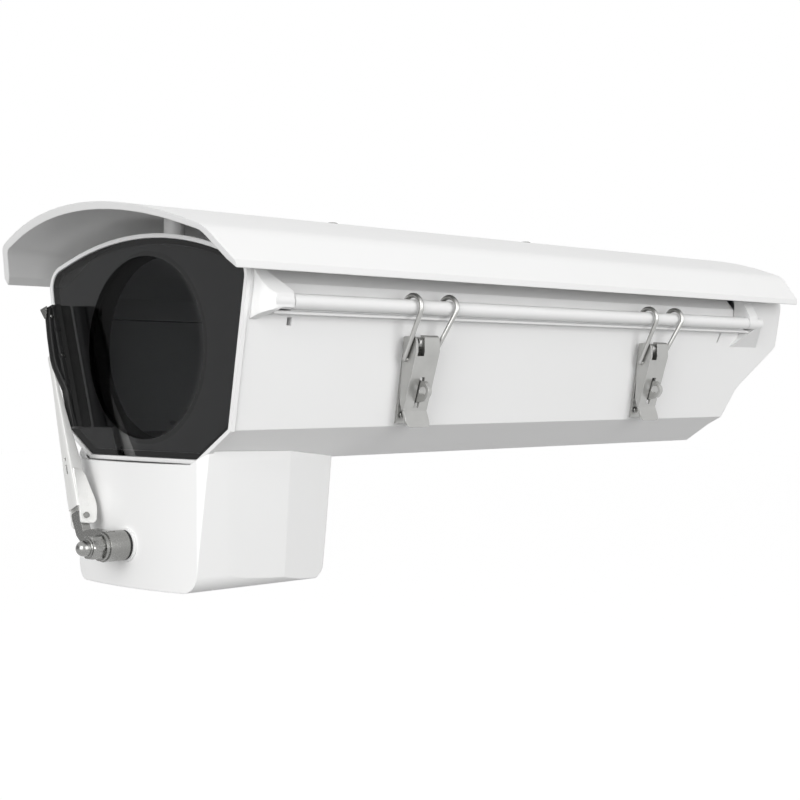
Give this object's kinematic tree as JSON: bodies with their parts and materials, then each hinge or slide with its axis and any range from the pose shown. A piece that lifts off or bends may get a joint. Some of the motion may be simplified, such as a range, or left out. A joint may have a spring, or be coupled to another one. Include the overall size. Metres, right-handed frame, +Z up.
{
  "type": "security camera housing",
  "caption": "Outdoor camera housing: cast base with a side-hinged lid held by over-centre latches, a sunshield over it, and a window with a wiper driven from a cover below.",
  "frame": {"origin": "centre of the four bracket holes on the flat underside of the base", "axes": "the window faces -Y, the latches are on +X, +Z is up, the housing is long in Y"},
  "size_m": [0.1738, 0.4727, 0.1758],
  "materials": {
    "white_casting": "white powder coat",
    "glass": "clear, tinted by the dark inside",
    "mask_black": "matt black",
    "steel": "satin stainless",
    "rubber": "matt",
    "black_plastic": "fine texture",
    "grey_plastic": "fine texture",
    "board_green": "satin",
    "aluminium": "mill",
    "brass": "nickel free"
  },
  "bodies": {
    "housing": {"base_casting": "white_casting", "motor_cover": "white_casting", "window_glass": "glass", "window_mask": "mask_black", "hinge_brackets": "steel", "hinge_pins": "steel", "hinge_screws": "steel", "front_latch_base": "steel", "rear_latch_base": "steel", "latch_pins": "steel", "latch_rivets": "steel", "latch_springs": "steel", "motor_bracket": "steel", "tray_screws": "steel", "wiper_motor": "steel", "window_gasket": "rubber", "lid_seal": "rubber", "shaft_seal": "rubber", "gland_seals": "rubber", "fan_frame": "black_plastic", "gearbox": "black_plastic", "gland_bodies": "grey_plastic", "gland_nuts": "grey_plastic", "terminal_block": "grey_plastic", "board_standoffs": "grey_plastic", "power_board": "board_green", "camera_tray": "aluminium", "tray_standoffs": "aluminium", "heater": "aluminium", "shaft_bush": "brass"},
    "lid": {"lid": "white_casting", "sunshield": "white_casting", "sunshield_spacers": "white_casting", "sunshield_screws": "steel", "sunshield_nuts": "steel"},
    "front_lever": {"front_latch_lever": "steel"},
    "front_bail": {"front_latch_bail": "steel"},
    "rear_lever": {"rear_latch_lever": "steel"},
    "rear_bail": {"rear_latch_bail": "steel"},
    "wiper_drive": {"wiper_shaft": "steel", "wiper_head": "steel", "wiper_washer": "steel", "wiper_nut": "steel", "arm_hinge_pin": "steel"},
    "wiper_arm": {"wiper_arm": "steel", "arm_spring": "steel"},
    "wiper_blade": {"blade_holder": "black_plastic", "wiper_rubber": "rubber", "blade_clip": "steel", "blade_pin": "steel"},
    "fan": {"fan_rotor": "black_plastic"}
  },
  "joints": [
    {"name": "lid_hinge", "type": "hinge", "parent": "housing", "child": "lid", "pos_m": [-0.0785, 0, 0.071], "axis": [0, -1, 0], "range_deg": [0, 100]},
    {"name": "front_lever_pivot", "type": "hinge", "parent": "housing", "child": "front_lever", "pos_m": [0.075, -0.111, 0.0542], "axis": [0, -1, 0], "range_deg": [0, 90]},
    {"name": "front_bail_pivot", "type": "hinge", "parent": "front_lever", "child": "front_bail", "pos_m": [0.0726, -0.111, 0.0464], "axis": [0, -1, 0], "range_deg": [-70, 0]},
    {"name": "rear_lever_pivot", "type": "hinge", "parent": "housing", "child": "rear_lever", "pos_m": [0.075, 0.079, 0.0542], "axis": [0, -1, 0], "range_deg": [0, 90]},
    {"name": "rear_bail_pivot", "type": "hinge", "parent": "rear_lever", "child": "rear_bail", "pos_m": [0.0726, 0.079, 0.0464], "axis": [0, -1, 0], "range_deg": [-70, 0]},
    {"name": "wiper_sweep", "type": "hinge", "parent": "housing", "child": "wiper_drive", "pos_m": [0, -0.235, -0.0385], "axis": [0, 1, 0], "range_deg": [0, 55]},
    {"name": "wiper_arm_lift", "type": "hinge", "parent": "wiper_drive", "child": "wiper_arm", "pos_m": [-0.02203, -0.23722, -0.02737], "axis": [0.9117, 0, 0.4109], "range_deg": [0, 50], "stiffness_Nm_per_rad": 0.3, "springref_deg": -22.92},
    {"name": "blade_rock", "type": "hinge", "parent": "wiper_arm", "child": "wiper_blade", "pos_m": [-0.04956, -0.23, 0.04797], "axis": [0.9566, 0, 0.2914], "range_deg": [-1.5, 1.5]},
    {"name": "fan_spin", "type": "hinge", "parent": "housing", "child": "fan", "pos_m": [0, 0.1275, 0.023], "axis": [0, 1, 0], "continuous": true}
  ],
  "couplings": [
    {"joint": "front_bail_pivot", "follows": "front_lever_pivot", "ratio": -0.74},
    {"joint": "rear_bail_pivot", "follows": "rear_lever_pivot", "ratio": -0.74}
  ]
}
